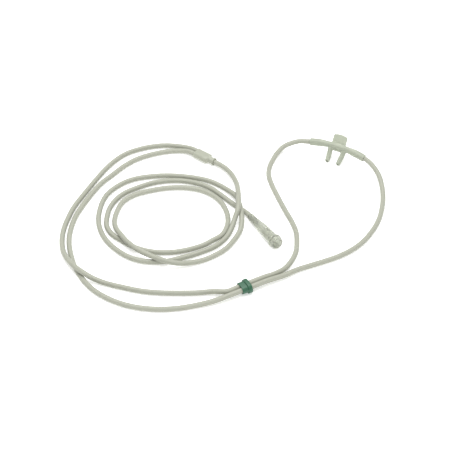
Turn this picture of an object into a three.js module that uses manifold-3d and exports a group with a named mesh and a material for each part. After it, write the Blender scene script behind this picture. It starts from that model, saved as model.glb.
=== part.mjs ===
// Nasal oxygen cannula, laid out on a table: nosepiece, two branch tubes, slider, Y-connector,
// supply tube with an oval coil, and end connector. Millimetres, +Z up, the table is z = 0.
// +X runs along the nosepiece, and the origin is on the table under the nosepiece's middle.
import * as THREE from 'three';
import { mergeVertices } from 'three/addons/utils/BufferGeometryUtils.js';
import Module from 'manifold-3d';

const wasm = await Module();
wasm.setup();

// Driving dimensions
const tubeOuter = 5.2;
const tubeFacets = 8;
const seatGap = 0.3;            // left between two pieces that touch
const pairGap = 0.3;            // between the two branch tubes where they run as a pair
const passageBore = 3.4;        // gas passage through every moulding
const cutPast = 1;              // a cut reaches this far past the face it opens

// Nosepiece
const barrelLength = 62;
const barrelRadius = 3.3;
const barrelBend = 131;         // radius of the barrel's arc
const nosePitch = 55;           // the lip tab leans back this far up from the table
const collarWall = 1.0;
const collarLength = 12;
const collarTaper = 7;
const collarSocketDepth = 10;
const prongSpacing = 15.8;
const prongRootRadius = 2.75;
const prongTipRadius = 2.4;
const prongLumen = 3.0;
const prongStraight = 3.5;
const prongRootReach = 1;       // the root keeps its full radius this far outside the barrel
const prongTipRound = 0.7;
const prongArcRadius = 24.5;
const prongArcAngle = 35;
const prongConverge = 6;
const tabWidth = 15.4;
const tabHeight = 13;           // from the barrel's centre line
const tabThickness = 1.4;
const tabCorner = 1.8;
const tabCrown = 0.9;

// Slider
const sliderCentre = [3, -222];
const sliderYaw = 56;
const sliderBodyLength = 6;
const sliderFlangeLength = 4;
const sliderWall = 1.0;
const sliderFlangeRise = 1.4;
const straightAhead = 23;       // straight tube ahead of the slider's middle, towards the nosepiece
const straightBehind = 17;

// Y-connector
const yEntry = [-133.5, -63.3];
const yYaw = -11;
const yWideLength = 16;
const yShoulderLength = 2.5;
const yNarrowLength = 6;
const yWall = 0.55;
const yOutletWall = 0.7;
const yRimRise = 0.5;
const yRimLength = 1.6;
const yPairSocketDepth = 11;
const yOutletSocketDepth = 7;
const yChamberLength = 4;        // oblong space where the two passages meet

// End connector
const connectorStart = [-38, -127.2];
const connectorYaw = -32.6;
const connectorTubeEndWall = 0.65;
const connectorNeckFlare = 0.4;
const connectorSocketDepth = 14;
const connectorBarrelRadius = 5.1;
const connectorBarrelEndRadius = 5.6;
const connectorNeckLength = 12;
const connectorTaperLength = 10;
const connectorBarrelLength = 23.5;
const flangeRadius = 7;
const flangeThickness = 1.8;
const mouthRadius = 6;
const mouthLength = 4.5;
const mouthBore = 9.4;
const mouthBoreDepth = 20;
const mouthBoreTaper = 5;

// Straight tube outside each socket
const straightAtCollar = 3;
const straightAtPair = 6;
const straightAtOutlet = 8;
const tailLength = 14;

// Coil of the supply tube: the outer shape of its turns
const coilCentre = [-108.5, -166];
const coilYaw = -10;
const coilOuter = [77.5, 72.5];
const coilInner = [44, 47];
const coilHeight = 14.2;

const tubeRadius = tubeOuter / 2;
const socketRadius = tubeRadius + seatGap;
const passageRadius = passageBore / 2;
const pairSpacing = tubeOuter + pairGap;     // between the centres of the two branch tubes
const pairSocketHalf = pairSpacing / 2;
const deg = Math.PI / 180;

const clearPvc = { color: 0xbcc0ae, roughness: 0.35, metalness: 0 };
const nosePvc = { color: 0xc0cab4, roughness: 0.4, metalness: 0 };
const clearPlastic = { color: 0xb8bcae, roughness: 0.2, metalness: 0 };
const greenPlastic = { color: 0x2d5f46, roughness: 0.4, metalness: 0 };

// Solids
function toSolid(geometry) {
  const bare = geometry.index ? geometry.toNonIndexed() : geometry.clone();
  bare.deleteAttribute('normal');
  bare.deleteAttribute('uv');
  const merged = mergeVertices(bare, 1e-4);
  const mesh = new wasm.Mesh({
    numProp: 3,
    vertProperties: new Float32Array(merged.attributes.position.array),
    triVerts: new Uint32Array(merged.index.array),
  });
  mesh.merge();
  return new wasm.Manifold(mesh);
}

function toGeometry(solid) {
  const mesh = solid.getMesh();
  const geometry = new THREE.BufferGeometry();
  geometry.setAttribute('position', new THREE.BufferAttribute(mesh.vertProperties, 3));
  geometry.setIndex(new THREE.BufferAttribute(mesh.triVerts, 1));
  geometry.computeVertexNormals();
  return geometry;
}

// A turned solid along +Z from [radius, z] points that start and end on the axis
function turned(profile, sides = 24) {
  const points = profile.map(([radius, z]) => new THREE.Vector2(radius, z));
  return new THREE.LatheGeometry(points, sides).rotateX(Math.PI / 2);
}

function rod(radius, from, to, sides = 24) {
  return turned([[0, from], [radius, from], [radius, to], [0, to]], sides);
}

// Adds stations to a turned profile so that it can be bent afterwards
function withStations(profile, step) {
  const dense = [];
  for (let i = 0; i < profile.length - 1; i++) {
    const [r0, z0] = profile[i];
    const [r1, z1] = profile[i + 1];
    const parts = Math.max(1, Math.ceil(Math.abs(z1 - z0) / step));
    for (let k = 0; k < parts; k++) {
      dense.push([r0 + ((r1 - r0) * k) / parts, z0 + ((z1 - z0) * k) / parts]);
    }
  }
  dense.push(profile[profile.length - 1]);
  return dense;
}

// An oblong across X with round ends, its ends' centres half apart on each side
function oblong(half, radius) {
  const shape = new THREE.Shape();
  shape.absarc(half, 0, radius, -Math.PI / 2, Math.PI / 2, false);
  shape.absarc(-half, 0, radius, Math.PI / 2, (3 * Math.PI) / 2, false);
  shape.closePath();
  return shape;
}

function extruded(shape, from, to, curveSegments = 8) {
  const options = { depth: to - from, bevelEnabled: false, curveSegments };
  return new THREE.ExtrudeGeometry(shape, options).translate(0, 0, from);
}

function polygon(radius, sides) {
  const points = [];
  for (let i = 0; i < sides; i++) {
    const angle = (2 * Math.PI * (i + 0.5)) / sides;
    points.push(new THREE.Vector2(radius * Math.cos(angle), radius * Math.sin(angle)));
  }
  return new THREE.Shape(points);
}

// Nosepiece, in its moulding plane: X along the barrel, Y up the lip tab, Z out of the face side
function bentBarrel(profile) {
  const geometry = turned(withStations(profile, 4)).rotateY(Math.PI / 2);
  const position = geometry.attributes.position;
  for (let i = 0; i < position.count; i++) {
    const angle = position.getX(i) / barrelBend;
    const reach = barrelBend + position.getY(i);
    position.setXY(i, reach * Math.sin(angle), reach * Math.cos(angle) - barrelBend);
  }
  return geometry;
}

// A prong runs down the moulding plane and curves out of its face side
function bentProng(profile, side) {
  const geometry = turned(withStations(profile, 2.5), 20).rotateX(Math.PI / 2);
  const position = geometry.attributes.position;
  for (let i = 0; i < position.count; i++) {
    const along = -position.getY(i) - prongStraight;
    if (along <= 0) continue;
    const angle = along / prongArcRadius;
    const reach = prongArcRadius - position.getZ(i);
    position.setY(i, -prongStraight - reach * Math.sin(angle));
    position.setZ(i, prongArcRadius - reach * Math.cos(angle));
  }
  const rootAngle = (side * prongSpacing) / 2 / barrelBend;
  geometry.rotateZ(-side * prongConverge * deg);
  return geometry.translate(
    barrelBend * Math.sin(rootAngle), barrelBend * Math.cos(rootAngle) - barrelBend, 0);
}

function lipTab() {
  const half = tabWidth / 2;
  const shape = new THREE.Shape();
  shape.moveTo(-half, 0);
  shape.lineTo(half, 0);
  shape.lineTo(half, tabHeight - tabCorner - tabCrown);
  shape.quadraticCurveTo(half, tabHeight - tabCrown, half - tabCorner, tabHeight - tabCrown);
  shape.quadraticCurveTo(0, tabHeight + tabCrown, -half + tabCorner, tabHeight - tabCrown);
  shape.quadraticCurveTo(-half, tabHeight - tabCrown, -half, tabHeight - tabCorner - tabCrown);
  shape.closePath();
  return extruded(shape, -tabThickness / 2, tabThickness / 2, 5);
}

function nosepieceGeometry() {
  const half = barrelLength / 2;
  const collar = socketRadius + collarWall;
  const barrel = bentBarrel([
    [0, -half], [collar, -half], [collar, -half + collarLength],
    [barrelRadius, -half + collarLength + collarTaper],
    [barrelRadius, half - collarLength - collarTaper],
    [collar, half - collarLength], [collar, half], [0, half]]);
  const bore = bentBarrel([
    [0, -half - cutPast], [socketRadius, -half - cutPast], [socketRadius, -half + collarSocketDepth],
    [passageRadius, -half + collarSocketDepth], [passageRadius, half - collarSocketDepth],
    [socketRadius, half - collarSocketDepth], [socketRadius, half + cutPast], [0, half + cutPast]]);
  const prongEnd = prongStraight + prongArcRadius * prongArcAngle * deg;
  let solid = toSolid(barrel).add(toSolid(lipTab()));
  for (const side of [-1, 1]) {
    solid = solid.add(toSolid(bentProng([
      [0, 0], [prongRootRadius, 0], [prongRootRadius, barrelRadius + prongRootReach],
      [prongTipRadius, prongEnd - prongTipRound],
      [prongTipRadius - 0.3 * prongTipRound, prongEnd - 0.3 * prongTipRound],
      [prongTipRadius - prongTipRound, prongEnd], [0, prongEnd]], side)));
  }
  solid = solid.subtract(toSolid(bore));
  for (const side of [-1, 1]) {
    const lumen = bentProng([
      [0, 0], [prongLumen / 2, 0], [prongLumen / 2, prongEnd + cutPast], [0, prongEnd + cutPast]], side);
    solid = solid.subtract(toSolid(lumen));
  }
  return toGeometry(solid).rotateX(nosePitch * deg);
}

// The nosepiece stands on its prong tips, with its middle over the origin
const noseGeometry = nosepieceGeometry();
noseGeometry.computeBoundingBox();
const noseBox = noseGeometry.boundingBox;
const noseOffset = new THREE.Vector3(
  -(noseBox.min.x + noseBox.max.x) / 2, -(noseBox.min.y + noseBox.max.y) / 2, -noseBox.min.z);

// A point on the barrel's centre line, at a distance from its middle, straight on past its ends
function barrelPoint(distance) {
  const half = barrelLength / 2;
  const inside = THREE.MathUtils.clamp(distance, -half, half);
  const angle = inside / barrelBend;
  const past = distance - inside;
  const point = new THREE.Vector3(
    barrelBend * Math.sin(angle) + past * Math.cos(angle),
    barrelBend * Math.cos(angle) - barrelBend - past * Math.sin(angle), 0);
  return point.applyAxisAngle(new THREE.Vector3(1, 0, 0), nosePitch * deg).add(noseOffset);
}

// Slider, along Z before it is laid down: its flange is towards the nosepiece
const sliderBodyRadius = socketRadius + sliderWall;
const sliderFlangeRadius = sliderBodyRadius + sliderFlangeRise;
const sliderHalf = (sliderBodyLength + sliderFlangeLength) / 2;
const sliderStep = -sliderHalf + sliderBodyLength;

function sliderGeometry() {
  const body = toSolid(extruded(oblong(pairSocketHalf, sliderBodyRadius), -sliderHalf, sliderHalf));
  const flange = toSolid(extruded(oblong(pairSocketHalf, sliderFlangeRadius), sliderStep, sliderHalf));
  const hole = oblong(pairSocketHalf, socketRadius);
  const bore = toSolid(extruded(hole, -sliderHalf - cutPast, sliderHalf + cutPast));
  return toGeometry(body.add(flange).subtract(bore));
}

function sliderPoint(along, across) {
  const [x, y] = sliderCentre;
  const ahead = [Math.cos(sliderYaw * deg), Math.sin(sliderYaw * deg)];
  return new THREE.Vector3(
    x + along * ahead[0] + across * ahead[1], y + along * ahead[1] - across * ahead[0],
    sliderFlangeRadius);
}

// Y-connector, along Z before it is laid down: the pair's mouth is at 0
const yOutletRadius = socketRadius + yOutletWall;
const yRimRadius = yOutletRadius + yRimRise;
const yLength = yWideLength + yShoulderLength + yNarrowLength;

function yConnectorGeometry() {
  const wide = toSolid(extruded(oblong(pairSocketHalf, socketRadius + yWall), 0, yWideLength));
  const shoulder = toSolid(rod(yOutletRadius, yWideLength - cutPast, yLength));
  const rim = toSolid(rod(yRimRadius, yLength - yRimLength, yLength));
  const outletFloor = yLength - yOutletSocketDepth;
  const chamberEnd = yPairSocketDepth - cutPast + yChamberLength;
  const link = toSolid(rod(passageRadius, chamberEnd - cutPast, outletFloor + cutPast));
  const outlet = toSolid(rod(socketRadius, outletFloor, yLength + cutPast));
  const chamber = toSolid(
    extruded(oblong(pairSocketHalf, passageRadius), yPairSocketDepth - cutPast, chamberEnd));
  let solid = wide.add(shoulder).add(rim).subtract(link).subtract(outlet).subtract(chamber);
  for (const side of [-1, 1]) {
    const socket = rod(socketRadius, -cutPast, yPairSocketDepth).translate(side * pairSocketHalf, 0, 0);
    solid = solid.subtract(toSolid(socket));
  }
  return toGeometry(solid);
}

function yPoint(along, across) {
  const [x, y] = yEntry;
  const ahead = [Math.cos(yYaw * deg), Math.sin(yYaw * deg)];
  return new THREE.Vector3(
    x + along * ahead[0] - across * ahead[1], y + along * ahead[1] + across * ahead[0], yRimRadius);
}

// End connector, along Z before it is laid down: the tube end is at 0
const connectorTubeEnd = socketRadius + connectorTubeEndWall;
const flangeStart = connectorNeckLength + connectorTaperLength + connectorBarrelLength;
const connectorLength = flangeStart + flangeThickness + mouthLength;
// [radius, distance from the tube end] of each step that could touch the table
const connectorSteps = [
  [connectorTubeEnd + connectorNeckFlare, connectorNeckLength],
  [connectorBarrelRadius, connectorNeckLength + connectorTaperLength],
  [connectorBarrelEndRadius, flangeStart], [flangeRadius, flangeStart]];
const connectorPitch = Math.asin(
  Math.max(...connectorSteps.map(([radius, along]) => (radius - connectorTubeEnd) / along)));

function endConnectorGeometry() {
  const flangeEnd = flangeStart + flangeThickness;
  const mouthBoreStart = connectorLength - mouthBoreDepth;
  const body = toSolid(turned([
    [0, 0], [connectorTubeEnd, 0], ...connectorSteps,
    [flangeRadius, flangeEnd], [mouthRadius, flangeEnd],
    [mouthRadius, connectorLength], [0, connectorLength]], 32));
  const bore = toSolid(turned([
    [0, -cutPast], [socketRadius, -cutPast], [socketRadius, connectorSocketDepth],
    [passageRadius, connectorSocketDepth], [passageRadius, mouthBoreStart - mouthBoreTaper],
    [mouthBore / 2, mouthBoreStart], [mouthBore / 2, connectorLength + cutPast],
    [0, connectorLength + cutPast]], 32));
  return toGeometry(body.subtract(bore));
}

// A point on the end connector's axis
function connectorPoint(along) {
  const [x, y] = connectorStart;
  const level = along * Math.cos(connectorPitch);
  return new THREE.Vector3(
    x + level * Math.cos(connectorYaw * deg), y + level * Math.sin(connectorYaw * deg),
    connectorTubeEnd * Math.cos(connectorPitch) + along * Math.sin(connectorPitch));
}

// Routes of the tubes. A point with no height lies on the table.
const onTable = (points) => points.map(([x, y, z = tubeRadius]) => new THREE.Vector3(x, y, z));

const leftLoop = onTable([
  [-41, -1.5, 9.8], [-48, -5.5, 8], [-53.5, -13, 6], [-56.5, -24, 4.2], [-57, -36, 3.1],
  [-55, -48], [-50, -60], [-42, -70], [-32, -80], [-19, -91.5], [-6, -103], [5, -114],
  [13.5, -125.5], [20, -139], [24.5, -153], [26, -166], [25, -179, 2.9], [20, -191.5, 4.2]]);
const leftReturn = onTable([
  [-20, -243.5, 3.9], [-34, -249.5, 2.8], [-49, -255.5], [-66, -262.5], [-83, -267.5],
  [-102, -271.5], [-120, -274.5, 2.9], [-132, -276.5, 5.2], [-143, -277, 8], [-153.5, -274, 8.2],
  [-165, -267.5, 6.6], [-177, -257.5, 3.8], [-187.5, -243.5], [-195, -229.5], [-201, -213],
  [-205.5, -195], [-207.5, -175], [-209, -152], [-209, -129], [-206, -111], [-200.5, -96],
  [-192, -83], [-182, -73.5], [-170, -66], [-158, -61], [-147, -58.8, 3]]);
const rightLoop = onTable([
  [41.5, -3.5, 9.8], [52, -14, 7.6], [62, -27, 5], [70, -41, 3.3], [75.5, -57], [78.5, -74],
  [79, -91], [77, -109], [72, -125], [63.5, -140.5], [53.5, -154.5], [44, -167.5],
  [37.5, -178.5, 2.8], [31, -190.5, 3.8]]);
const rightReturn = onTable([
  [-15, -250.5, 3.8], [-28, -262.5, 2.7], [-40.5, -273], [-55, -282], [-71, -288.5], [-87, -292],
  [-104, -292.3], [-121, -289.5], [-135, -284], [-146.5, -277], [-156.5, -269.5],
  [-165.5, -260.5], [-174, -250.5], [-182, -239], [-189, -225], [-195.5, -206], [-199, -188],
  [-200.5, -168], [-200, -151], [-196.5, -133], [-192, -116], [-185.5, -100.5], [-177, -88],
  [-167, -77.5], [-157.5, -70], [-148, -65.5, 3]]);
const supplyLead = onTable([
  [-91.5, -73.5, 4.4], [-80, -82.5, 6], [-69.5, -95.5, 8.6], [-61, -109.5, 11], [-54.5, -121, 11.6]]);

// A tube seats in a socket and stops a gap short of its floor
function branchRoute(side, loop, back) {
  const collarSeat = collarSocketDepth - seatGap;
  const half = barrelLength / 2;
  const across = (side * pairSpacing) / 2;
  return [
    barrelPoint(side * (half - collarSeat)), barrelPoint(side * (half - collarSeat / 2)),
    barrelPoint(side * half), barrelPoint(side * (half + straightAtCollar)),
    ...loop,
    sliderPoint(straightAhead, across), sliderPoint(straightAhead / 3, across),
    sliderPoint(-straightBehind / 3, across), sliderPoint(-straightBehind, across),
    ...back,
    yPoint(-straightAtPair, -across), yPoint(0, -across),
    yPoint(yPairSocketDepth - seatGap, -across)];
}

const supplyLeadRoute = [
  yPoint(yLength - yOutletSocketDepth + seatGap, 0), yPoint(yLength, 0),
  yPoint(yLength + straightAtOutlet, 0), ...supplyLead];
const supplyTailRoute = [
  connectorPoint(-tailLength).setZ(tubeRadius), connectorPoint(0),
  connectorPoint(connectorSocketDepth - seatGap)];

// A smooth curve whose extrusion has its stations at the route's own points
class Route extends THREE.CatmullRomCurve3 {
  getPointAt(t, target) {
    return this.getPoint(t, target);
  }

  getTangentAt(t, target) {
    return this.getTangent(t, target);
  }
}

function tubeAlong(route) {
  const path = new Route(route, false, 'centripetal');
  const section = polygon(tubeRadius, tubeFacets);
  const options = { steps: route.length - 1, extrudePath: path, bevelEnabled: false };
  return new THREE.ExtrudeGeometry(section, options);
}

function coilGeometry(grow = 0, height = coilHeight) {
  const ring = new THREE.Shape();
  ring.absellipse(0, 0, coilOuter[0] + grow, coilOuter[1] + grow, 0, 2 * Math.PI, false, 0);
  const hole = new THREE.Path();
  hole.absellipse(0, 0, coilInner[0] - grow, coilInner[1] - grow, 0, 2 * Math.PI, true, 0);
  ring.holes.push(hole);
  return extruded(ring, 0, height, 36)
    .rotateZ(coilYaw * deg)
    .translate(coilCentre[0], coilCentre[1], 0);
}

// The supply tube's free stretches end at the coil's outer face
function trimmedByCoil(geometry) {
  const coil = toSolid(coilGeometry(seatGap, coilHeight + cutPast));
  return toGeometry(toSolid(geometry).subtract(coil));
}

const cannula = new THREE.Group();

function place(name, geometry, material, parent = cannula) {
  const mesh = new THREE.Mesh(geometry, new THREE.MeshStandardMaterial(material));
  mesh.name = name;
  parent.add(mesh);
  return mesh;
}

// Lays a piece that was made along +Z down along a yaw, with its own X kept level
function laidDown(point, yaw, pitch = 0) {
  const holder = new THREE.Group();
  const ahead = new THREE.Vector3(
    Math.cos(pitch) * Math.cos(yaw), Math.cos(pitch) * Math.sin(yaw), Math.sin(pitch));
  const level = new THREE.Vector3(Math.sin(yaw), -Math.cos(yaw), 0);
  const down = new THREE.Vector3().crossVectors(ahead, level);
  holder.setRotationFromMatrix(new THREE.Matrix4().makeBasis(level, down, ahead));
  holder.position.copy(point);
  cannula.add(holder);
  return holder;
}

place('nosepiece', noseGeometry, nosePvc).position.copy(noseOffset);
place('left_branch_tube', tubeAlong(branchRoute(-1, leftLoop, leftReturn)), clearPvc);
place('right_branch_tube', tubeAlong(branchRoute(1, rightLoop, rightReturn)), clearPvc);
place('slider', sliderGeometry(), greenPlastic, laidDown(sliderPoint(0, 0), sliderYaw * deg));
place('y_connector', yConnectorGeometry(), clearPlastic, laidDown(yPoint(0, 0), yYaw * deg));
place('supply_tube_lead', trimmedByCoil(tubeAlong(supplyLeadRoute)), clearPvc);
place('supply_tube_coil', coilGeometry(), clearPvc);
place('supply_tube_tail', trimmedByCoil(tubeAlong(supplyTailRoute)), clearPvc);
place('end_connector', endConnectorGeometry(), clearPlastic,
  laidDown(connectorPoint(0), connectorYaw * deg, connectorPitch));

export default cannula;
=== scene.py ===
# Nasal oxygen cannula on a white table: tubes, nosepiece, slider, Y-connector, end connector
import math
import bmesh
import bpy
import numpy as np
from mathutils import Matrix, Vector


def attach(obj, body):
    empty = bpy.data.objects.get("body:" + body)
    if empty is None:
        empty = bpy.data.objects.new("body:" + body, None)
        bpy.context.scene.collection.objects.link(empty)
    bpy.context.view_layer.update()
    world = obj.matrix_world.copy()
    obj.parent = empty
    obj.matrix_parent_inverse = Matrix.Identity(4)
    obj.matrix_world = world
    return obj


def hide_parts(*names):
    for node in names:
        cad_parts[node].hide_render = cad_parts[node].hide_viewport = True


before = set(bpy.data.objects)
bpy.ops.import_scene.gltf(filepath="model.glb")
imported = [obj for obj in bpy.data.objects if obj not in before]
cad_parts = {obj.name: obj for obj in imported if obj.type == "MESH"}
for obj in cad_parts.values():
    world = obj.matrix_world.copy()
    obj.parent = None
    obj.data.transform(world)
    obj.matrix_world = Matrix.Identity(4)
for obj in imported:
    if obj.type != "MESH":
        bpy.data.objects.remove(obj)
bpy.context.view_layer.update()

scene = bpy.context.scene


# Camera at the photograph's angle
cameraSetup = {
    "azimuth": 27.2, "elevation": 42.0, "distance": 1.4,
    "target": (-0.0549, -0.1478, 0.0), "lens": 111.5, "sensor": 36.0, "farClip": 20.0,
}


def makeCamera(setup):
    azimuth = math.radians(setup["azimuth"])
    elevation = math.radians(setup["elevation"])
    back = Vector((
        math.sin(azimuth) * math.cos(elevation),
        -math.cos(azimuth) * math.cos(elevation), math.sin(elevation)))
    data = bpy.data.cameras.new("photoCamera")
    data.lens = setup["lens"]
    data.sensor_width = setup["sensor"]
    data.clip_end = setup["farClip"]
    camera = bpy.data.objects.new("photoCamera", data)
    scene.collection.objects.link(camera)
    camera.location = Vector(setup["target"]) + setup["distance"] * back
    camera.rotation_euler = back.to_track_quat("Z", "Y").to_euler()
    scene.camera = camera


makeCamera(cameraSetup)
print("camera ready")


# Sizes and places of the pieces, in metres, as the CAD part has them
tube = {
    "outer": 0.0052, "bore": 0.0034, "gap": 0.0003, "pairSpacing": 0.0055,
    "sides": 28, "step": 0.002, "spanSamples": 24, "sharpAbove": 42.0,
}
nosepiece = {
    "barrelLength": 0.062, "barrelRadius": 0.0033, "barrelBend": 0.131, "pitch": 55.0,
    "middle": (0.0, 0.003178, 0.013932),
    "collarRadius": 0.0039, "collarLength": 0.012, "collarTaper": 0.007, "socketDepth": 0.010,
    "prongSpacing": 0.0158, "prongRootRadius": 0.00275, "prongTipRadius": 0.0024,
    "prongLumen": 0.0015, "prongStraight": 0.0035, "prongArcRadius": 0.0245,
    "prongArcAngle": 35.0, "prongConverge": 6.0, "tipRound": 0.0009,
    "tabWidth": 0.0154, "tabHeight": 0.013, "tabThickness": 0.0014, "tabCorner": 0.0018,
    "tabCrown": 0.0009, "webDepth": 0.0052, "webThickness": 0.0016,
    "prongRootReach": 0.001, "tipRings": 6,
    "voxel": 0.00028, "smoothing": 5, "smoothingFactor": 0.5, "sharpAbove": 55.0,
}
slider = {
    "centre": (0.003, -0.222), "yaw": 56.0, "bodyLength": 0.006, "flangeLength": 0.004,
    "bodyRadius": 0.0039, "flangeRadius": 0.0053, "rounding": 0.0005,
    "straightAhead": 0.023, "straightBehind": 0.017, "sides": 72, "sharpAbove": 50.0,
}
yConnector = {
    "entry": (-0.1335, -0.0633), "yaw": -11.0, "wideLength": 0.016, "shoulderEnd": 0.0185,
    "length": 0.0245, "wideRadius": 0.00345, "outletRadius": 0.0036, "rimRadius": 0.0041,
    "rimLength": 0.0016, "pairSocketDepth": 0.011, "outletSocketDepth": 0.007,
    "rounding": 0.0004, "straightAtPair": 0.006, "straightAtOutlet": 0.008,
    "shoulderRings": 8, "sides": 72, "rodSides": 48, "sharpAbove": 40.0,
}
endConnector = {
    "start": (-0.038, -0.1272), "yaw": -32.6, "tubeEndRadius": 0.00355, "neckEnd": 0.012,
    "neckRadius": 0.00395, "taperEnd": 0.022, "barrelRadius": 0.0051,
    "flangeStart": 0.0455, "barrelEndRadius": 0.0056, "flangeRadius": 0.007,
    "flangeThickness": 0.0018, "length": 0.0518, "mouthRadius": 0.006,
    "mouthBore": 0.0047, "mouthBoreDepth": 0.020, "mouthBoreTaper": 0.005,
    "socketDepth": 0.014, "rounding": 0.0004, "sides": 64, "sharpAbove": 40.0,
}

tubeRadius = tube["outer"] / 2
socketRadius = tubeRadius + tube["gap"]
passageRadius = tube["bore"] / 2
pairHalf = tube["pairSpacing"] / 2
# how far a cutter reaches past the face it cuts
cutPast = 0.001


# Places along the mouldings' own axes
def fromMouldingPlane(x, y, z):
    # X along the barrel, Y up the lip tab, Z out of the face side
    pitch = math.radians(nosepiece["pitch"])
    middle = nosepiece["middle"]
    return (
        middle[0] + x, middle[1] + y * math.cos(pitch) - z * math.sin(pitch),
        middle[2] + y * math.sin(pitch) + z * math.cos(pitch))


def barrelPoint(distance):
    half = nosepiece["barrelLength"] / 2
    bend = nosepiece["barrelBend"]
    inside = max(-half, min(half, distance))
    past = distance - inside
    angle = inside / bend
    return fromMouldingPlane(
        bend * math.sin(angle) + past * math.cos(angle),
        bend * math.cos(angle) - bend - past * math.sin(angle), 0)


def sliderPoint(along, across):
    yaw = math.radians(slider["yaw"])
    x, y = slider["centre"]
    return (
        x + along * math.cos(yaw) + across * math.sin(yaw),
        y + along * math.sin(yaw) - across * math.cos(yaw), slider["flangeRadius"])


def yPoint(along, across):
    yaw = math.radians(yConnector["yaw"])
    x, y = yConnector["entry"]
    return (
        x + along * math.cos(yaw) - across * math.sin(yaw),
        y + along * math.sin(yaw) + across * math.cos(yaw), yConnector["rimRadius"])


def connectorPitch():
    end = endConnector
    return math.asin((end["flangeRadius"] - end["tubeEndRadius"]) / end["flangeStart"])


def connectorPoint(along):
    yaw = math.radians(endConnector["yaw"])
    pitch = connectorPitch()
    x, y = endConnector["start"]
    level = along * math.cos(pitch)
    return (
        x + level * math.cos(yaw), y + level * math.sin(yaw),
        endConnector["tubeEndRadius"] * math.cos(pitch) + along * math.sin(pitch))


def onTable(points):
    # a point with no height lies on the table
    return [tuple(p) if len(p) == 3 else (p[0], p[1], tubeRadius) for p in points]


# Meshes
def newObject(name, vertices, faces):
    mesh = bpy.data.meshes.new(name)
    mesh.from_pydata([tuple(float(x) for x in v) for v in vertices], [], faces)
    shell = bmesh.new()
    shell.from_mesh(mesh)
    bmesh.ops.recalc_face_normals(shell, faces=shell.faces)
    shell.to_mesh(mesh)
    shell.free()
    made = bpy.data.objects.new(name, mesh)
    scene.collection.objects.link(made)
    return made


def shadeSmooth(target, sharpAbove):
    mesh = target.data
    mesh.shade_smooth()
    mesh.set_sharp_from_angle(angle=math.radians(sharpAbove))


def between(p, q, low, high, t):
    return ((high - t) * p + (t - low) * q) / (high - low)


def smoothRoute(points, step):
    # a centripetal curve through the points, then evenly spaced along its length
    points = [np.array(p, dtype=float) for p in points]
    padded = [2 * points[0] - points[1], *points, 2 * points[-1] - points[-2]]
    fine = []
    for a, b, c, d in zip(padded, padded[1:], padded[2:], padded[3:]):
        chords = [math.sqrt(np.linalg.norm(q - p)) for p, q in ((a, b), (b, c), (c, d))]
        k = np.concatenate([[0.0], np.cumsum(chords)])
        for t in np.linspace(k[1], k[2], tube["spanSamples"], endpoint=False):
            ab = between(a, b, k[0], k[1], t)
            bc = between(b, c, k[1], k[2], t)
            cd = between(c, d, k[2], k[3], t)
            abc = between(ab, bc, k[0], k[2], t)
            bcd = between(bc, cd, k[1], k[3], t)
            fine.append(between(abc, bcd, k[1], k[2], t))
    fine.append(points[-1])
    fine = np.array(fine)
    gaps = np.linalg.norm(np.diff(fine, axis=0), axis=1)
    reach = np.concatenate([[0.0], np.cumsum(gaps)])
    count = int(math.ceil(reach[-1] / step)) + 1
    even = np.linspace(0.0, reach[-1], count)
    return np.stack([np.interp(even, reach, fine[:, k]) for k in range(3)], axis=1)


def lineLength(line):
    return float(np.linalg.norm(np.diff(line, axis=0), axis=1).sum())


def joinRings(rings, closed):
    # faces between rings of equal size, in order; closed joins the last ring to the first
    sides = len(rings[0])
    vertices = [v for ring in rings for v in ring]
    faces = []
    for i in range(len(rings) if closed else len(rings) - 1):
        a = i * sides
        b = ((i + 1) % len(rings)) * sides
        for j in range(sides):
            k = (j + 1) % sides
            faces.append((a + j, a + k, b + k, b + j))
    if not closed:
        faces.append(tuple(reversed(range(sides))))
        faces.append(tuple(range((len(rings) - 1) * sides, len(rings) * sides)))
    return vertices, faces


def sweptFrames(line):
    # at each point the two directions across the line, carried along without twist
    tangents = np.gradient(line, axis=0)
    tangents /= np.linalg.norm(tangents, axis=1)[:, None]
    side = np.cross(tangents[0], (0.0, 0.0, 1.0))
    frames = []
    for tangent in tangents:
        side = side - tangent * side.dot(tangent)
        side /= np.linalg.norm(side)
        frames.append((side, np.cross(tangent, side)))
    return frames


def ringAt(centre, across, up, radius, sides):
    turns = np.linspace(0.0, 2 * math.pi, sides, endpoint=False)
    return [centre + radius * (math.cos(t) * across + math.sin(t) * up) for t in turns]


def hollowTube(name, points):
    line = smoothRoute(points, tube["step"])
    frames = sweptFrames(line)
    outer = [ringAt(c, a, u, tubeRadius, tube["sides"]) for c, (a, u) in zip(line, frames)]
    inner = [ringAt(c, a, u, passageRadius, tube["sides"]) for c, (a, u) in zip(line, frames)]
    made = newObject(name, *joinRings(outer + inner[::-1], True))
    shadeSmooth(made, tube["sharpAbove"])
    return made, line


def oblongRing(place, along, radius, half, count):
    # an oblong across the piece; half is how far its round ends' centres are from the middle
    ring = []
    for i in range(count):
        angle = 2 * math.pi * (i + 0.5) / count - math.pi / 2
        shift = half if math.cos(angle) > 0 else -half
        ring.append(place(along, shift + radius * math.cos(angle), radius * math.sin(angle)))
    return ring


def rounded(profile, amount, parts=3, mostOfSpan=0.45):
    # cuts each corner of a closed [along, radius, ...] profile with a short arc
    made = []
    count = len(profile)
    for i, corner in enumerate(profile):
        before, after = profile[i - 1], profile[(i + 1) % count]
        c = np.array(corner, dtype=float)
        to = [np.array(q, dtype=float) - c for q in (before, after)]
        spans = [np.linalg.norm(v[:2]) for v in to]
        cut = min(amount, mostOfSpan * min(spans))
        ends = [c + v * (cut / span) for v, span in zip(to, spans)]
        for t in np.linspace(0.0, 1.0, parts + 1):
            point = (1 - t) ** 2 * ends[0] + 2 * t * (1 - t) * c + t * t * ends[1]
            made.append(tuple(float(v) for v in point))
    return made


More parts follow.
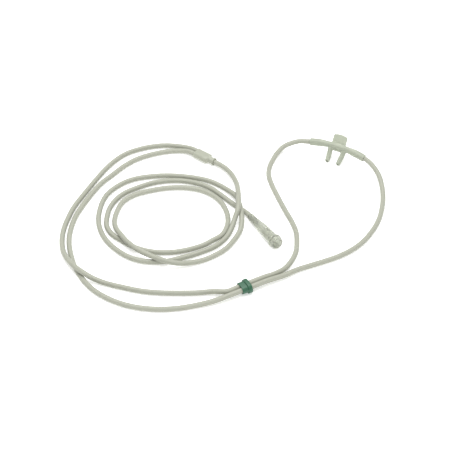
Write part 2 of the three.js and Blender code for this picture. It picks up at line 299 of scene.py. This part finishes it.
def placer(point, yawDegrees, pitch=0.0):
    # puts [along, across, up] of a moulding into the frame
    yaw = math.radians(yawDegrees)
    ahead = Vector((
        math.cos(pitch) * math.cos(yaw), math.cos(pitch) * math.sin(yaw), math.sin(pitch)))
    level = Vector((math.sin(yaw), -math.cos(yaw), 0.0))
    up = level.cross(ahead)
    origin = Vector(point)
    return lambda along, across, above: origin + ahead * along + level * across + up * above


def evaluatedMesh(target):
    graph = bpy.context.evaluated_depsgraph_get()
    mesh = bpy.data.meshes.new_from_object(target.evaluated_get(graph))
    target.modifiers.clear()
    target.data = mesh


def carve(target, cutters):
    for cutter in cutters:
        cut = target.modifiers.new("cut", "BOOLEAN")
        cut.operation = "DIFFERENCE"
        cut.solver = "MANIFOLD"
        cut.object = cutter
    bpy.context.view_layer.update()
    evaluatedMesh(target)
    for cutter in cutters:
        bpy.data.objects.remove(cutter)


# Materials
def newGroup(name, inputs, outputs):
    group = bpy.data.node_groups.new(name, "ShaderNodeTree")
    for label, kind, value in inputs:
        socket = group.interface.new_socket(label, in_out="INPUT", socket_type=kind)
        socket.default_value = value
    for label, kind in outputs:
        group.interface.new_socket(label, in_out="OUTPUT", socket_type=kind)
    return group, group.nodes.new("NodeGroupInput"), group.nodes.new("NodeGroupOutput")


def makeToneGroup():
    # a slow drift between two tones, as cloudy PVC has
    group, given, out = newGroup("cloudyTone", [
        ("Tone", "NodeSocketColor", (0.8, 0.8, 0.8, 1.0)),
        ("Other Tone", "NodeSocketColor", (0.7, 0.7, 0.7, 1.0)),
        ("Scale", "NodeSocketFloat", 60.0)], [("Color", "NodeSocketColor")])
    place = group.nodes.new("ShaderNodeTexCoord")
    noise = group.nodes.new("ShaderNodeTexNoise")
    mix = group.nodes.new("ShaderNodeMix")
    mix.data_type = "RGBA"
    link = group.links.new
    link(place.outputs["Object"], noise.inputs["Vector"])
    link(given.outputs["Scale"], noise.inputs["Scale"])
    link(noise.outputs["Fac"], mix.inputs["Factor"])
    link(given.outputs["Tone"], mix.inputs["A"])
    link(given.outputs["Other Tone"], mix.inputs["B"])
    link(mix.outputs["Result"], out.inputs["Color"])
    return group


def makeSheenGroup():
    # patches of more and less gloss from handling
    group, given, out = newGroup("handledSheen", [
        ("Least", "NodeSocketFloat", 0.2), ("Most", "NodeSocketFloat", 0.4),
        ("Scale", "NodeSocketFloat", 150.0)], [("Value", "NodeSocketFloat")])
    place = group.nodes.new("ShaderNodeTexCoord")
    noise = group.nodes.new("ShaderNodeTexNoise")
    spread = group.nodes.new("ShaderNodeMapRange")
    link = group.links.new
    link(place.outputs["Object"], noise.inputs["Vector"])
    link(given.outputs["Scale"], noise.inputs["Scale"])
    link(noise.outputs["Fac"], spread.inputs["Value"])
    link(given.outputs["Least"], spread.inputs["To Min"])
    link(given.outputs["Most"], spread.inputs["To Max"])
    link(spread.outputs["Result"], out.inputs["Value"])
    return group


def makeRippleGroup():
    # faint unevenness of a moulded or drawn surface
    group, given, out = newGroup("fineRipple", [
        ("Strength", "NodeSocketFloat", 0.1), ("Depth", "NodeSocketFloat", 0.00005),
        ("Scale", "NodeSocketFloat", 400.0)], [("Normal", "NodeSocketVector")])
    place = group.nodes.new("ShaderNodeTexCoord")
    noise = group.nodes.new("ShaderNodeTexNoise")
    bump = group.nodes.new("ShaderNodeBump")
    link = group.links.new
    link(place.outputs["Object"], noise.inputs["Vector"])
    link(given.outputs["Scale"], noise.inputs["Scale"])
    link(noise.outputs["Fac"], bump.inputs["Height"])
    link(given.outputs["Strength"], bump.inputs["Strength"])
    link(given.outputs["Depth"], bump.inputs["Distance"])
    link(bump.outputs["Normal"], out.inputs["Normal"])
    return group


toneGroup = makeToneGroup()
sheenGroup = makeSheenGroup()
rippleGroup = makeRippleGroup()


def makeMaterial(name, look):
    material = bpy.data.materials.new(name)
    material.use_nodes = True
    nodes = material.node_tree.nodes
    link = material.node_tree.links.new
    shader = nodes["Principled BSDF"]

    def placeGroup(group, values):
        node = nodes.new("ShaderNodeGroup")
        node.node_tree = group
        for label, value in values.items():
            node.inputs[label].default_value = value
        return node

    tone = placeGroup(toneGroup, {
        "Tone": (*look["tone"], 1.0), "Other Tone": (*look["otherTone"], 1.0),
        "Scale": look["toneScale"]})
    link(tone.outputs["Color"], shader.inputs["Base Color"])
    sheen = placeGroup(sheenGroup, {
        "Least": look["roughness"][0], "Most": look["roughness"][1],
        "Scale": look["sheenScale"]})
    link(sheen.outputs["Value"], shader.inputs["Roughness"])
    ripple = placeGroup(rippleGroup, {
        "Strength": look["ripple"], "Depth": look["rippleDepth"], "Scale": look["rippleScale"]})
    link(ripple.outputs["Normal"], shader.inputs["Normal"])
    for label, value in look["shader"].items():
        shader.inputs[label].default_value = value
    return material


looks = {
    "tubePvc": {
        "tone": (0.425, 0.435, 0.365), "otherTone": (0.395, 0.405, 0.335), "toneScale": 30.0,
        "roughness": (0.22, 0.3), "sheenScale": 60.0,
        "ripple": 0.03, "rippleDepth": 0.00002, "rippleScale": 90.0,
        "shader": {"IOR": 1.4, "Transmission Weight": 0.12, "Specular IOR Level": 0.2},
    },
    "softPvc": {
        "tone": (0.53, 0.555, 0.45), "otherTone": (0.46, 0.505, 0.405), "toneScale": 90.0,
        "roughness": (0.25, 0.35), "sheenScale": 120.0,
        "ripple": 0.04, "rippleDepth": 0.00002, "rippleScale": 200.0,
        "shader": {"IOR": 1.4, "Transmission Weight": 0.35, "Specular IOR Level": 0.3},
    },
    "clearPlastic": {
        "tone": (0.68, 0.70, 0.62), "otherTone": (0.63, 0.65, 0.57), "toneScale": 80.0,
        "roughness": (0.24, 0.32), "sheenScale": 120.0,
        "ripple": 0.03, "rippleDepth": 0.00002, "rippleScale": 200.0,
        "shader": {"IOR": 1.3, "Transmission Weight": 0.7, "Specular IOR Level": 0.4},
    },
    "hazyPlastic": {
        "tone": (0.54, 0.555, 0.46), "otherTone": (0.48, 0.5, 0.41), "toneScale": 120.0,
        "roughness": (0.26, 0.34), "sheenScale": 120.0,
        "ripple": 0.03, "rippleDepth": 0.00002, "rippleScale": 200.0,
        "shader": {"IOR": 1.4, "Transmission Weight": 0.3, "Specular IOR Level": 0.4},
    },
    "greenPlastic": {
        "tone": (0.026, 0.115, 0.06), "otherTone": (0.02, 0.09, 0.047), "toneScale": 200.0,
        "roughness": (0.34, 0.46), "sheenScale": 500.0,
        "ripple": 0.2, "rippleDepth": 0.00003, "rippleScale": 900.0,
        "shader": {"IOR": 1.5, "Transmission Weight": 0.0},
    },
}
materials = {name: makeMaterial(name, look) for name, look in looks.items()}
print("materials ready")


def finishPiece(piece, material, body, nodes):
    piece.data.materials.clear()
    piece.data.materials.append(materials[material])
    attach(piece, body)
    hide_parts(*nodes)
    return piece


# Branch tubes: from the nosepiece's collars through the slider to the Y-connector
branch = {
    "leftLoop": [
        (-0.041, -0.0015, 0.0098), (-0.048, -0.0055, 0.008), (-0.0546, -0.0127, 0.006),
        (-0.0573, -0.0238, 0.0042), (-0.057, -0.036, 0.0031), (-0.055, -0.048), (-0.05, -0.06),
        (-0.0424, -0.0702), (-0.0329, -0.0805), (-0.021, -0.0925), (-0.0088, -0.1044),
        (0.0027, -0.1152),
        (0.0122, -0.1262), (0.0193, -0.1394), (0.0245, -0.153), (0.026, -0.166),
        (0.025, -0.179, 0.0029), (0.02, -0.1915, 0.0042)],
    "leftReturn": [
        (-0.0219, -0.2399, 0.0039), (-0.0351, -0.2474, 0.0028), (-0.0493, -0.2549),
        (-0.0658, -0.2629), (-0.0822, -0.2689), (-0.1012, -0.2728), (-0.1193, -0.2757, 0.0029),
        (-0.1315, -0.2773, 0.0052),
        (-0.143, -0.277, 0.008), (-0.1535, -0.274, 0.0082), (-0.165, -0.2675, 0.0066),
        (-0.177, -0.2575, 0.0038), (-0.1875, -0.2435), (-0.1946, -0.2293), (-0.1999, -0.2124),
        (-0.2037, -0.1941), (-0.205, -0.1737), (-0.206, -0.1504), (-0.206, -0.1289),
        (-0.2042, -0.112), (-0.1998, -0.0972), (-0.1913, -0.0842), (-0.1816, -0.0742),
        (-0.17, -0.066), (-0.158, -0.061), (-0.147, -0.0588, 0.003)],
    "rightLoop": [
        (0.0415, -0.0035, 0.0098), (0.0535, -0.0132, 0.0076), (0.0629, -0.0265, 0.005),
        (0.07, -0.041, 0.0033), (0.0752, -0.0571), (0.0785, -0.074), (0.079, -0.091),
        (0.077, -0.109), (0.072, -0.125), (0.0635, -0.1405), (0.0533, -0.154),
        (0.0433, -0.166), (0.0361, -0.1755, 0.0028), (0.0297, -0.1878, 0.0038)],
    "rightReturn": [
        (-0.015, -0.2505, 0.0038), (-0.028, -0.2625, 0.0027), (-0.0405, -0.273),
        (-0.055, -0.282), (-0.071, -0.2885), (-0.087, -0.292), (-0.104, -0.2923),
        (-0.121, -0.2895), (-0.135, -0.284), (-0.1465, -0.277), (-0.1565, -0.2695),
        (-0.1655, -0.2605), (-0.174, -0.2505), (-0.182, -0.239), (-0.1887, -0.2249),
        (-0.1946, -0.2055), (-0.197, -0.187), (-0.1983, -0.1669), (-0.1979, -0.1499),
        (-0.1947, -0.133), (-0.1913, -0.1162), (-0.1855, -0.1005), (-0.177, -0.088),
        (-0.167, -0.0775), (-0.1575, -0.07), (-0.148, -0.0655, 0.003)],
    "straightAtCollar": 0.003,
    # the straight run through the slider has points at its ends and at this part of it
    "straightParts": 3,
}


def branchRoute(side, loop, back):
    seat = nosepiece["socketDepth"] - tube["gap"]
    half = nosepiece["barrelLength"] / 2
    across = side * pairHalf
    ahead, behind = slider["straightAhead"], slider["straightBehind"]
    parts = branch["straightParts"]
    return [
        barrelPoint(side * (half - seat)), barrelPoint(side * (half - seat / 2)),
        barrelPoint(side * half), barrelPoint(side * (half + branch["straightAtCollar"])),
        *onTable(loop),
        sliderPoint(ahead, across), sliderPoint(ahead / parts, across),
        sliderPoint(-behind / parts, across), sliderPoint(-behind, across),
        *onTable(back),
        yPoint(-yConnector["straightAtPair"], -across), yPoint(0, -across),
        yPoint(yConnector["pairSocketDepth"] - tube["gap"], -across)]


leftTube, leftLine = hollowTube(
    "leftBranchTube", branchRoute(-1, branch["leftLoop"], branch["leftReturn"]))
rightTube, rightLine = hollowTube(
    "rightBranchTube", branchRoute(1, branch["rightLoop"], branch["rightReturn"]))
finishPiece(leftTube, "tubePvc", "cannula", ["left_branch_tube"])
finishPiece(rightTube, "tubePvc", "cannula", ["right_branch_tube"])
print("branch tubes", round(lineLength(leftLine), 4), round(lineLength(rightLine), 4))


# Supply tube: one tube from the Y-connector round three turns of a coil to the end connector
supply = {
    "lead": [
        (-0.0915, -0.0735, 0.0044), (-0.08, -0.0825, 0.006), (-0.069, -0.0955, 0.0088),
        (-0.0603, -0.11, 0.0121), (-0.0527, -0.1246, 0.013), (-0.0494, -0.1328, 0.0118),
        (-0.0486, -0.1405, 0.0076), (-0.0471, -0.149, 0.0046)],
    "centre": (-0.1085, -0.166), "yaw": -10.0, "radii": (0.068, 0.059),
    # angle in degrees, share of the radii, height where the tube is off the table
    "turns": [
        (14, 0.93), (-5, 0.9), (-24.4, 0.879), (-43.6, 0.921), (-60.1, 1.023), (-76, 1.12),
        (-90, 1.16), (-110, 1.16), (-127, 1.14), (-145, 1.11), (-170, 1.11), (-190, 1.1),
        (-204, 1.09), (-220, 1.07), (-235, 1.08), (-254, 1.13), (-268, 1.19),
        (-285, 1.215, 0.0032),
        (-297.6, 1.193, 0.0065), (-302.7, 1.156, 0.0077), (-309.1, 1.139, 0.0078),
        (-316, 1.12, 0.0078),
        (-327.1, 1.105, 0.0057), (-336.4, 1.088, 0.0036), (-359.8, 1.05), (-374.0, 1.042),
        (-389.4, 1.049), (-407.6, 1.087, 0.0052), (-419.1, 1.093, 0.0079),
        (-430.9, 1.042, 0.008),
        (-444.5, 1.002, 0.0079), (-458.5, 0.961, 0.0079), (-468.0, 0.933, 0.0078),
        (-477.2, 0.918, 0.0064), (-489.7, 0.887, 0.0038), (-505.1, 0.846), (-528.6, 0.812),
        (-547.1, 0.77), (-570.3, 0.729), (-593.0, 0.76), (-612.5, 0.832), (-630.6, 0.911),
        (-648.8, 0.94), (-670, 0.915), (-689, 0.885), (-706, 0.85), (-719.0, 0.791),
        (-735.6, 0.765), (-762.5, 0.771), (-781.2, 0.818), (-797.7, 0.875), (-812.9, 0.922),
        (-826.7, 0.962), (-837, 1.01), (-848, 1.02), (-860.0, 0.987), (-877.8, 0.951),
        (-898.4, 0.916), (-918.0, 0.882), (-939.6, 0.908), (-960, 0.965), (-977, 1.015),
        (-993, 1.045), (-1008, 1.05), (-1018, 1.08), (-1025, 1.135)],
    "tailStart": 0.005,
}


def coilPoint(angle, share, height=tubeRadius):
    psi = math.radians(angle)
    yaw = math.radians(supply["yaw"])
    x = supply["radii"][0] * share * math.cos(psi)
    y = supply["radii"][1] * share * math.sin(psi)
    return (
        supply["centre"][0] + x * math.cos(yaw) - y * math.sin(yaw),
        supply["centre"][1] + x * math.sin(yaw) + y * math.cos(yaw), height)


outletSeat = yConnector["length"] - yConnector["outletSocketDepth"] + tube["gap"]
supplyTube, supplyLine = hollowTube("supplyTube", [
    yPoint(outletSeat, 0), yPoint(yConnector["length"], 0),
    yPoint(yConnector["length"] + yConnector["straightAtOutlet"], 0),
    *supply["lead"], *(coilPoint(*turn) for turn in supply["turns"]),
    connectorPoint(-supply["tailStart"]), connectorPoint(0),
    connectorPoint(endConnector["socketDepth"] - tube["gap"])])
finishPiece(supplyTube, "tubePvc", "cannula",
            ["supply_tube_lead", "supply_tube_coil", "supply_tube_tail"])
print("supply tube", round(lineLength(supplyLine), 4))


# Nosepiece: one moulding, made in its moulding plane, with its bores cut right through
def barrelRing(distance, radius, sides=40):
    bend = nosepiece["barrelBend"]
    angle = distance / bend
    centre = np.array((bend * math.sin(angle), bend * math.cos(angle) - bend, 0.0))
    out = np.array((math.sin(angle), math.cos(angle), 0.0))
    return ringAt(centre, out, np.array((0.0, 0.0, 1.0)), radius, sides)


def prongRing(side, distance, radius, sides=32):
    arc = nosepiece["prongArcRadius"]
    angle = max(0.0, distance - nosepiece["prongStraight"]) / arc
    down = min(distance, nosepiece["prongStraight"]) + arc * math.sin(angle)
    centre = np.array((0.0, -down, arc * (1 - math.cos(angle))))
    normal = np.array((0.0, math.sin(angle), math.cos(angle)))
    ring = ringAt(centre, np.array((1.0, 0.0, 0.0)), normal, radius, sides)
    turn = math.radians(-side * nosepiece["prongConverge"])
    rootAngle = side * nosepiece["prongSpacing"] / 2 / nosepiece["barrelBend"]
    rootX = nosepiece["barrelBend"] * math.sin(rootAngle)
    rootY = nosepiece["barrelBend"] * (math.cos(rootAngle) - 1)
    return [np.array((
        rootX + p[0] * math.cos(turn) - p[1] * math.sin(turn),
        rootY + p[0] * math.sin(turn) + p[1] * math.cos(turn), p[2])) for p in ring]


def ringStack(name, ringMaker, profile, step=0.001):
    # a closed body from [distance, radius] points
    rings = []
    for (d0, r0), (d1, r1) in zip(profile, profile[1:]):
        parts = max(1, int(math.ceil(abs(d1 - d0) / step)))
        rings += [ringMaker(d0 + (d1 - d0) * k / parts, r0 + (r1 - r0) * k / parts)
                  for k in range(parts)]
    rings.append(ringMaker(*profile[-1]))
    return newObject(name, *joinRings(rings, False))


def plate(name, outline, thickness):
    count = len(outline)
    low = [(x, y, -thickness / 2) for x, y in outline]
    high = [(x, y, thickness / 2) for x, y in outline]
    faces = [tuple(reversed(range(count))), tuple(range(count, 2 * count))]
    faces += [(i, (i + 1) % count, count + (i + 1) % count, count + i) for i in range(count)]
    return newObject(name, low + high, faces)


def quadratic(a, b, c, parts=8):
    return [tuple((1 - t) ** 2 * a[k] + 2 * t * (1 - t) * b[k] + t * t * c[k] for k in (0, 1))
            for t in np.linspace(0.0, 1.0, parts + 1)]


def tabOutline():
    half, top = nosepiece["tabWidth"] / 2, nosepiece["tabHeight"] - nosepiece["tabCrown"]
    corner = nosepiece["tabCorner"]
    return [
        (-half, 0.0), (half, 0.0),
        *quadratic((half, top - corner), (half, top), (half - corner, top)),
        *quadratic((half - corner, top), (0.0, top + 2 * nosepiece["tabCrown"]),
                   (corner - half, top))[1:-1],
        *quadratic((corner - half, top), (-half, top), (-half, top - corner))]


def makeNosepiece():
    size = nosepiece
    half = size["barrelLength"] / 2
    flat = half - size["collarLength"]
    barrel = ringStack("barrel", barrelRing, [
        (-half, size["collarRadius"]), (-flat, size["collarRadius"]),
        (-flat + size["collarTaper"], size["barrelRadius"]),
        (flat - size["collarTaper"], size["barrelRadius"]),
        (flat, size["collarRadius"]), (half, size["collarRadius"])])
    prongArc = size["prongArcRadius"] * math.radians(size["prongArcAngle"])
    prongEnd = size["prongStraight"] + prongArc
    tip = size["tipRound"]
    solids = [barrel, plate("tab", tabOutline(), size["tabThickness"])]
    webHalf = size["prongSpacing"] / 2
    solids.append(plate("web", [
        (-webHalf, -size["webDepth"]), (webHalf, -size["webDepth"]), (webHalf, 0.0),
        (-webHalf, 0.0)], size["webThickness"]))
    for side in (-1, 1):
        profile = [
            (0.0, size["prongRootRadius"]),
            (size["barrelRadius"] + size["prongRootReach"], size["prongRootRadius"])]
        for turn in np.linspace(0.0, 90.0, size["tipRings"]):
            bendAngle = math.radians(turn)
            profile.append((prongEnd - tip + tip * math.sin(bendAngle),
                            size["prongTipRadius"] - tip + tip * math.cos(bendAngle)))
        solids.append(ringStack("prong", lambda d, r, s=side: prongRing(s, d, r), profile))
    for extra in solids[1:]:
        join = barrel.modifiers.new("join", "BOOLEAN")
        join.operation = "UNION"
        join.solver = "EXACT"
        join.object = extra
    remesh = barrel.modifiers.new("even", "REMESH")
    remesh.mode = "VOXEL"
    remesh.voxel_size = size["voxel"]
    smooth = barrel.modifiers.new("soften", "SMOOTH")
    smooth.factor = size["smoothingFactor"]
    smooth.iterations = size["smoothing"]
    bpy.context.view_layer.update()
    evaluatedMesh(barrel)
    for extra in solids[1:]:
        bpy.data.objects.remove(extra)
    floor = half - size["socketDepth"]
    cutters = [ringStack("bore", barrelRing, [
        (-half - cutPast, socketRadius), (-floor, socketRadius), (-floor, passageRadius),
        (floor, passageRadius), (floor, socketRadius), (half + cutPast, socketRadius)])]
    for side in (-1, 1):
        cutters.append(ringStack(
            "lumen", lambda d, r, s=side: prongRing(s, d, r),
            [(0.0, size["prongLumen"]), (prongEnd + cutPast, size["prongLumen"])]))
    carve(barrel, cutters)
    for vertex in barrel.data.vertices:
        vertex.co = fromMouldingPlane(*vertex.co)
    barrel.name = "nosepieceMoulding"
    shadeSmooth(barrel, size["sharpAbove"])
    return barrel


nose = finishPiece(makeNosepiece(), "softPvc", "cannula", ["nosepiece"])
print("nosepiece", len(nose.data.polygons))


# Slider: a stepped oblong collar round both branch tubes
def makeSlider():
    size = slider
    half = (size["bodyLength"] + size["flangeLength"]) / 2
    step = size["bodyLength"] - half
    profile = [
        (-half, socketRadius), (-half, size["bodyRadius"]), (step, size["bodyRadius"]),
        (step, size["flangeRadius"]), (half, size["flangeRadius"]), (half, socketRadius)]
    place = placer(sliderPoint(0, 0), size["yaw"])
    rings = [oblongRing(place, along, radius, pairHalf, size["sides"])
             for along, radius in rounded(profile, size["rounding"])]
    made = newObject("sliderCollar", *joinRings(rings, True))
    shadeSmooth(made, size["sharpAbove"])
    return made


sliderPiece = finishPiece(makeSlider(), "greenPlastic", "slider", ["slider"])


# Y-connector: oblong where the pair goes in, round at the outlet
def makeYConnector():
    size = yConnector
    place = placer(yPoint(0, 0), size["yaw"])
    blend = size["shoulderEnd"] - size["wideLength"]
    soft = size["rounding"]
    edge = 0.3 * soft
    rimStart = size["length"] - size["rimLength"]
    # along the piece, radius, share of the pair's spread
    profile = [
        (0.0, size["wideRadius"] - soft, 1.0), (edge, size["wideRadius"] - edge, 1.0),
        (soft, size["wideRadius"], 1.0), (size["wideLength"], size["wideRadius"], 1.0)]
    for part in range(1, size["shoulderRings"] + 1):
        share = part / size["shoulderRings"]
        eased = share * share * (3 - 2 * share)
        profile.append((
            size["wideLength"] + share * blend,
            size["wideRadius"] + eased * (size["outletRadius"] - size["wideRadius"]),
            1.0 - eased))
    profile += [
        (rimStart, size["outletRadius"], 0.0), (rimStart + soft / 2, size["rimRadius"], 0.0),
        (size["length"] - soft, size["rimRadius"], 0.0),
        (size["length"] - edge, size["rimRadius"] - edge, 0.0),
        (size["length"], size["rimRadius"] - soft, 0.0)]
    made = newObject("yConnectorMoulding", *joinRings(
        [oblongRing(place, along, radius, pairHalf * wide, size["sides"])
         for along, radius, wide in profile], False))

    def rod(across, radius, start, end, half=0.0):
        aside = place(0, across, 0)
        return newObject("rod", *joinRings([
            [p + aside - place(0, 0, 0)
             for p in oblongRing(place, along, radius, half, size["rodSides"])]
            for along in (start, end)], False))

    # the two sockets meet in a wide chamber that one passage leaves for the outlet's socket
    socketFloor = size["length"] - size["outletSocketDepth"]
    depth = size["pairSocketDepth"]
    chamberEnd = depth + 3 * cutPast
    passageStart = depth + 2 * cutPast
    carve(made, [
        rod(pairHalf, socketRadius, -cutPast, depth),
        rod(-pairHalf, socketRadius, -cutPast, depth),
        rod(0.0, passageRadius, depth - cutPast, chamberEnd, pairHalf),
        rod(0.0, passageRadius, passageStart, socketFloor + cutPast),
        rod(0.0, socketRadius, socketFloor, size["length"] + cutPast)])
    shadeSmooth(made, size["sharpAbove"])
    return made


yPiece = finishPiece(
    makeYConnector(), "hazyPlastic", "cannula", ["y_connector"])


# End connector: turned shape, its bore cut with it
def makeEndConnector():
    size = endConnector
    flangeEnd = size["flangeStart"] + size["flangeThickness"]
    boreStart = size["length"] - size["mouthBoreDepth"]
    profile = [
        (0.0, socketRadius), (0.0, size["tubeEndRadius"]),
        (size["neckEnd"], size["neckRadius"]), (size["taperEnd"], size["barrelRadius"]),
        (size["flangeStart"], size["barrelEndRadius"]),
        (size["flangeStart"], size["flangeRadius"]), (flangeEnd, size["flangeRadius"]),
        (flangeEnd, size["mouthRadius"]), (size["length"], size["mouthRadius"]),
        (size["length"], size["mouthBore"]), (boreStart, size["mouthBore"]),
        (boreStart - size["mouthBoreTaper"], passageRadius),
        (size["socketDepth"], passageRadius), (size["socketDepth"], socketRadius)]
    place = placer(connectorPoint(0), size["yaw"], connectorPitch())
    rings = [oblongRing(place, along, radius, 0.0, size["sides"])
             for along, radius in rounded(profile, size["rounding"])]
    made = newObject("endConnectorMoulding", *joinRings(rings, True))
    shadeSmooth(made, size["sharpAbove"])
    return made


endPiece = finishPiece(
    makeEndConnector(), "clearPlastic", "cannula", ["end_connector"])
print("mouldings ready")
# Table, background and light
studio = {
    "floorSize": 6.0, "floorTone": (0.93, 0.93, 0.925), "floorRoughness": 0.9,
    "floorGlow": 0.35, "background": (1.0, 1.0, 1.0), "backgroundStrength": 0.55,
    "lamps": [
        # name, place, aimed at, size, watts
        ("overhead", (-0.3, 0.1, 1.7), (-0.05, -0.15, 0.0), 1.8, 34.0),
        ("front", (0.9, -1.2, 1.1), (-0.05, -0.15, 0.0), 1.0, 6.0)],
}


def makeStudio():
    half = studio["floorSize"] / 2
    floor = newObject(
        "tableTop", [(-half, -half, 0), (half, -half, 0), (half, half, 0), (-half, half, 0)],
        [(0, 1, 2, 3)])
    paint = bpy.data.materials.new("whiteTable")
    paint.use_nodes = True
    shader = paint.node_tree.nodes["Principled BSDF"]
    shader.inputs["Base Color"].default_value = (*studio["floorTone"], 1.0)
    shader.inputs["Roughness"].default_value = studio["floorRoughness"]
    shader.inputs["Emission Color"].default_value = (*studio["background"], 1.0)
    shader.inputs["Emission Strength"].default_value = studio["floorGlow"]
    floor.data.materials.append(paint)
    world = bpy.data.worlds.new("softRoom")
    world.use_nodes = True
    room = world.node_tree.nodes["Background"]
    room.inputs["Color"].default_value = (*studio["background"], 1.0)
    room.inputs["Strength"].default_value = studio["backgroundStrength"]
    scene.world = world
    for name, place, target, size, watts in studio["lamps"]:
        data = bpy.data.lights.new(name, "AREA")
        data.shape = "DISK"
        data.size = size
        data.energy = watts
        lamp = bpy.data.objects.new(name, data)
        scene.collection.objects.link(lamp)
        lamp.location = place
        aim = Vector(target) - Vector(place)
        lamp.rotation_euler = aim.to_track_quat("-Z", "Y").to_euler()


makeStudio()
scene.view_settings.view_transform = "Standard"
print("studio ready")
